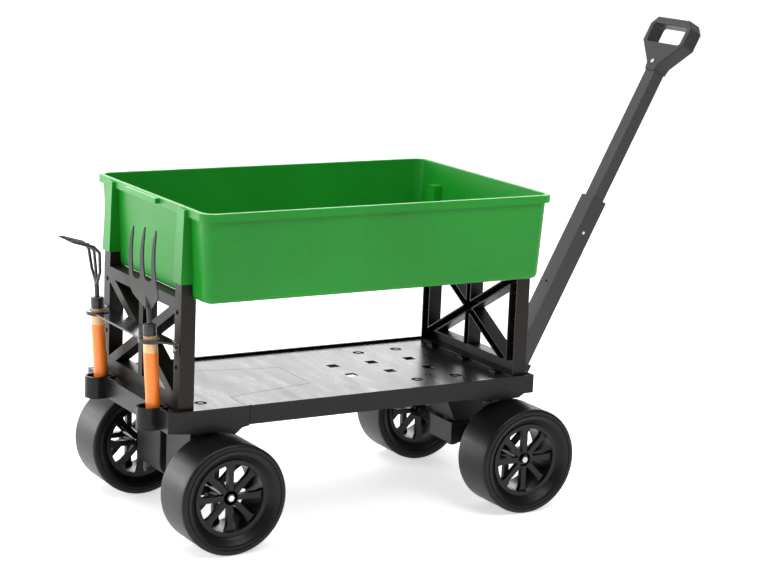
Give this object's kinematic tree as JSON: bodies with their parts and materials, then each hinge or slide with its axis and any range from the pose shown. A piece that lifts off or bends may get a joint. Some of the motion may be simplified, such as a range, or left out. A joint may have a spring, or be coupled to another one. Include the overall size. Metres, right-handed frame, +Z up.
{
  "type": "garden cart",
  "caption": "Four-wheeled garden cart with a lift-off tub over a slatted deck, a steered front axle, a telescopic pull handle and a rack with two hand tools.",
  "frame": {"origin": "on the ground, under the centre of the whole cart's box at rest", "axes": "+X from the tool rack at the rear to the pull handle at the front, +Y to the cart's left, +Z up"},
  "size_m": [1.4618, 0.552, 1.0322],
  "materials": {
    "deck_black": "fine grained black moulding",
    "tub_green": "satin green moulding",
    "rack_black": "glossy black moulding",
    "handle_black": "black powder coat over aluminium tube",
    "grip_black": "textured black grip",
    "tyre_black": "black moulded tread",
    "rim_black": "black moulded rim",
    "steel": "zinc plated steel",
    "rail_steel": "black painted steel box section",
    "button_white": "white moulded button",
    "bush_nylon": "natural nylon",
    "tool_wood": "turned wood, orange dipped grip with bare band above",
    "tool_steel": "black coated forged steel",
    "ferrule_black": "black painted steel cap"
  },
  "bodies": {
    "chassis": {"bolster_bolts": "steel", "bracket_bolts": "steel", "deck_front": "deck_black", "deck_rear": "deck_black", "deck_screws": "steel", "front_bolster": "deck_black", "front_panel": "deck_black", "kingpin": "steel", "kingpin_nut": "steel", "panel_screws": "steel", "rack_screws": "steel", "rear_axle": "steel", "rear_axle_bracket_left": "deck_black", "rear_axle_bracket_right": "deck_black", "rear_axle_nuts": "steel", "rear_axle_tube": "rail_steel", "rear_axle_washers": "steel", "rear_panel": "deck_black", "side_rails": "rail_steel", "tool_rack": "rack_black"},
    "steering_carriage": {"axle_carrier": "deck_black", "front_axle": "steel", "front_axle_washers": "steel", "front_axle_nuts": "steel", "thrust_washer": "bush_nylon", "tow_pivot_bolt": "steel", "tow_pivot_nut": "steel"},
    "tow_arm": {"tow_yoke": "deck_black", "yoke_screws": "steel", "tow_outer_tube": "handle_black", "tube_guide_upper": "grip_black"},
    "tow_slider": {"tow_inner_tube": "handle_black", "tube_guide_lower": "grip_black", "tow_grip": "grip_black", "grip_screw": "steel", "button_spring": "steel"},
    "lock_button_unit": {"lock_button": "button_white"},
    "front_left_wheel": {"front_left_tyre": "tyre_black", "front_left_rim": "rim_black", "front_left_bushes": "bush_nylon"},
    "front_right_wheel": {"front_right_tyre": "tyre_black", "front_right_rim": "rim_black", "front_right_bushes": "bush_nylon"},
    "rear_left_wheel": {"rear_left_tyre": "tyre_black", "rear_left_rim": "rim_black", "rear_left_bushes": "bush_nylon"},
    "rear_right_wheel": {"rear_right_tyre": "tyre_black", "rear_right_rim": "rim_black", "rear_right_bushes": "bush_nylon"},
    "tub_unit": {"tub": "tub_green"},
    "fork_tool": {"fork_head": "tool_steel", "fork_ferrule": "ferrule_black", "fork_handle": "tool_wood"},
    "cultivator_tool": {"cultivator_tines": "tool_steel", "cultivator_ferrule": "ferrule_black", "cultivator_handle": "tool_wood"}
  },
  "joints": [
    {"name": "steering", "type": "hinge", "parent": "chassis", "child": "steering_carriage", "pos_m": [0.15433, 0, 0.15], "axis": [0, 0, 1], "range_deg": [-25, 25]},
    {"name": "tow_pitch", "type": "hinge", "parent": "steering_carriage", "child": "tow_arm", "pos_m": [0.25643, 0, 0.15], "axis": [0, 1, 0], "range_deg": [-15, 68]},
    {"name": "tow_slide", "type": "slide", "parent": "tow_arm", "child": "tow_slider", "axis": [0.4648, 0, 0.8854], "range_m": [-0.275, 0]},
    {"name": "lock_button_press", "type": "slide", "parent": "tow_slider", "child": "lock_button_unit", "axis": [0, 1, 0], "range_m": [0, 0.0035], "stiffness_N_per_m": 400, "springref_m": -0.003, "deforming": ["button_spring"]},
    {"name": "tub_lift", "type": "slide", "parent": "chassis", "child": "tub_unit", "axis": [0, 0, 1], "range_m": [0, 0.15]},
    {"name": "fork_lift", "type": "slide", "parent": "chassis", "child": "fork_tool", "axis": [-0.0663, 0, 0.9978], "range_m": [0, 0.18]},
    {"name": "cultivator_lift", "type": "slide", "parent": "chassis", "child": "cultivator_tool", "axis": [-0.0663, 0, 0.9978], "range_m": [0, 0.18]},
    {"name": "front_left_wheel_spin", "type": "hinge", "parent": "steering_carriage", "child": "front_left_wheel", "pos_m": [0.17633, 0.222, 0.115], "axis": [0, 1, 0], "continuous": true},
    {"name": "front_right_wheel_spin", "type": "hinge", "parent": "steering_carriage", "child": "front_right_wheel", "pos_m": [0.17633, -0.222, 0.115], "axis": [0, 1, 0], "continuous": true},
    {"name": "rear_left_wheel_spin", "type": "hinge", "parent": "chassis", "child": "rear_left_wheel", "pos_m": [-0.52567, 0.222, 0.115], "axis": [0, 1, 0], "continuous": true},
    {"name": "rear_right_wheel_spin", "type": "hinge", "parent": "chassis", "child": "rear_right_wheel", "pos_m": [-0.52567, -0.222, 0.115], "axis": [0, 1, 0], "continuous": true}
  ]
}
